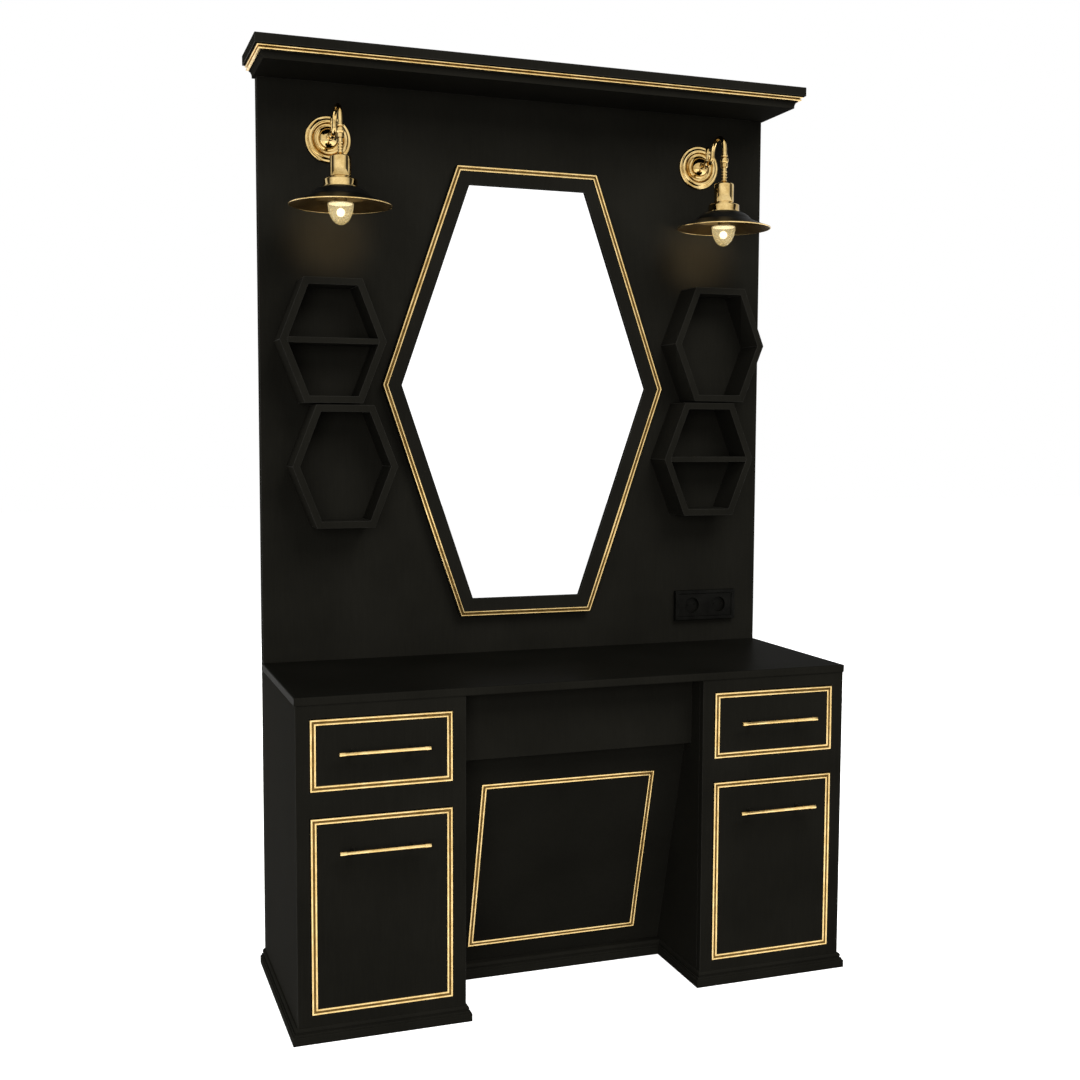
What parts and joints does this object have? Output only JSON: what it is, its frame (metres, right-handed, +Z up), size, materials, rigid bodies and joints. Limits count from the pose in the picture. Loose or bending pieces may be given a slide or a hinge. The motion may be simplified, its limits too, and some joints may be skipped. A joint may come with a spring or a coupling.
{
  "type": "salon styling station",
  "caption": "Floor-standing salon styling station: counter on drawer pedestals, tall back panel with hexagonal mirror, box shelves, crown and wall lamps.",
  "frame": {"origin": "on the floor, under the middle of the overall box", "axes": "+X to the right seen from the front, +Y to the back panel, +Z up"},
  "size_m": [1.357, 0.51, 2.141],
  "materials": {
    "lacquer": "satin black lacquer on fibreboard",
    "drawer_inner": "matt black melamine",
    "gold": "gold anodised, bright",
    "brass": "polished brass",
    "shade_black": "black enamel outside, brass inside and rim",
    "mirror_glass": "silvered",
    "bulb_glass": "frosted, lit",
    "socket_black": "black moulded plastic"
  },
  "bodies": {
    "cabinet": {"back_panel": "lacquer", "counter_top": "lacquer", "crown_top": "lacquer", "crown_gold_trim": "gold", "crown_cove": "lacquer", "left_outer_side": "lacquer", "left_inner_side": "lacquer", "left_base_board": "lacquer", "left_face_frame": "lacquer", "right_outer_side": "lacquer", "right_inner_side": "lacquer", "right_base_board": "lacquer", "right_face_frame": "lacquer", "left_plinth": "lacquer", "right_plinth": "lacquer", "knee_plinth": "lacquer", "apron": "lacquer", "knee_panel": "lacquer", "knee_gold_trim": "gold", "mirror_frame": "lacquer", "mirror_backing": "drawer_inner", "mirror_glass": "mirror_glass", "mirror_gold_trim": "gold", "left_upper_shelf": "lacquer", "left_upper_shelf_board": "lacquer", "left_lower_shelf": "lacquer", "right_upper_shelf": "lacquer", "right_lower_shelf": "lacquer", "right_lower_shelf_board": "lacquer", "outlet_plate": "socket_black", "outlet_socket": "socket_black", "left_lamp_rosette": "brass", "left_lamp_arm": "brass", "right_lamp_rosette": "brass", "right_lamp_arm": "brass"},
    "left_drawer": {"left_drawer_front": "lacquer", "left_drawer_gold_trim": "gold", "left_drawer_handle": "gold", "left_drawer_box": "drawer_inner"},
    "left_deep_drawer": {"left_deep_drawer_front": "lacquer", "left_deep_drawer_gold_trim": "gold", "left_deep_drawer_handle": "gold", "left_deep_drawer_box": "drawer_inner"},
    "right_drawer": {"right_drawer_front": "lacquer", "right_drawer_gold_trim": "gold", "right_drawer_handle": "gold", "right_drawer_box": "drawer_inner"},
    "right_deep_drawer": {"right_deep_drawer_front": "lacquer", "right_deep_drawer_gold_trim": "gold", "right_deep_drawer_handle": "gold", "right_deep_drawer_box": "drawer_inner"},
    "left_lamp_head": {"left_lamp_holder": "brass", "left_lamp_gallery": "brass", "left_lamp_shade": "shade_black", "left_lamp_bulb": "bulb_glass"},
    "right_lamp_head": {"right_lamp_holder": "brass", "right_lamp_gallery": "brass", "right_lamp_shade": "shade_black", "right_lamp_bulb": "bulb_glass"}
  },
  "joints": [
    {"name": "left_drawer_slide", "type": "slide", "parent": "cabinet", "child": "left_drawer", "axis": [0, -1, 0], "range_m": [0, 0.3]},
    {"name": "left_deep_drawer_slide", "type": "slide", "parent": "cabinet", "child": "left_deep_drawer", "axis": [0, -1, 0], "range_m": [0, 0.3]},
    {"name": "right_drawer_slide", "type": "slide", "parent": "cabinet", "child": "right_drawer", "axis": [0, -1, 0], "range_m": [0, 0.3]},
    {"name": "right_deep_drawer_slide", "type": "slide", "parent": "cabinet", "child": "right_deep_drawer", "axis": [0, -1, 0], "range_m": [0, 0.3]},
    {"name": "left_lamp_tilt", "type": "hinge", "parent": "cabinet", "child": "left_lamp_head", "pos_m": [-0.487, 0.079, 1.954], "axis": [-1, 0, 0], "range_deg": [0, 35]},
    {"name": "right_lamp_tilt", "type": "hinge", "parent": "cabinet", "child": "right_lamp_head", "pos_m": [0.47, 0.079, 1.954], "axis": [-1, 0, 0], "range_deg": [0, 35]}
  ]
}
